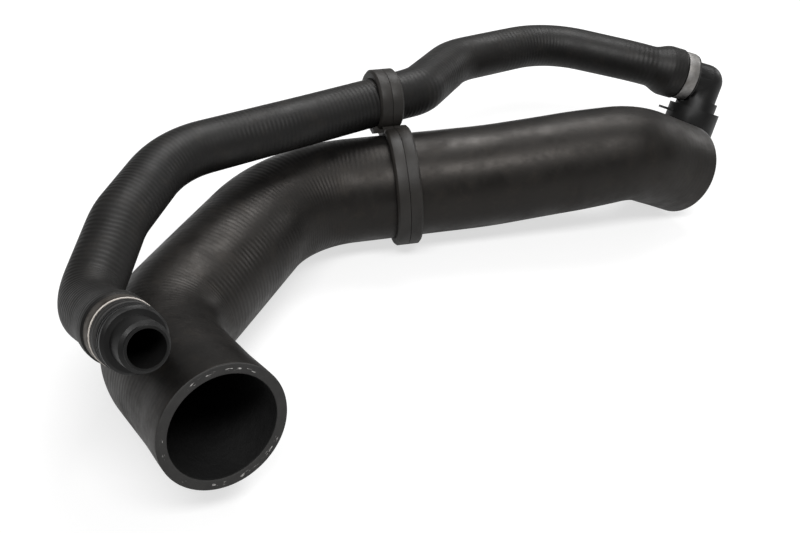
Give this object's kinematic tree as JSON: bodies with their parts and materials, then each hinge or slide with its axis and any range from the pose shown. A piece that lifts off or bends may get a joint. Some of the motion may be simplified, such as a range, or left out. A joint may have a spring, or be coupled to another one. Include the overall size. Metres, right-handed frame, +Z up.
{
  "type": "radiator hose",
  "caption": "Moulded rubber coolant hose pair for a radiator, held side by side by a plastic holder, with a plug-in spigot and a quick-connect elbow on the small hose.",
  "frame": {"origin": "centre of the bounding box in plan, on the plane that the pair lies on", "axes": "+X along the straight run of the large hose, from the spigot end to the elbow end; +Y away from the large hose's left mouth, across the holder towards the small hose; +Z up, away from the plane it lies on"},
  "size_m": [0.423, 0.2954, 0.1096],
  "materials": {
    "large_rubber": "satin black, wrap-cured, fine crosswise wrap marks",
    "small_rubber": "satin black, wrap-cured, clear crosswise wrap marks",
    "black_plastic": "satin black moulded polyamide",
    "holder_plastic": "dull dark brown-grey moulded polyamide",
    "ring_steel": "plain stamped steel",
    "wire_steel": "bright drawn spring wire",
    "seal_rubber": "smooth matt black"
  },
  "bodies": {
    "hose_pair": {"large_hose": "large_rubber", "small_hose": "small_rubber", "spigot_connector": "black_plastic", "spigot_crimp_ring": "ring_steel", "elbow_connector": "black_plastic", "elbow_crimp_ring": "ring_steel", "elbow_seal_ring": "seal_rubber", "elbow_spacer_ring": "black_plastic", "holder_left_half": "holder_plastic", "holder_right_half": "holder_plastic"},
    "retainer": {"wire_retainer": "wire_steel"}
  },
  "joints": [
    {"name": "retainer_pull", "type": "slide", "parent": "hose_pair", "child": "retainer", "axis": [0.9151, -0.192, -0.3545], "range_m": [0, 0.005]}
  ]
}
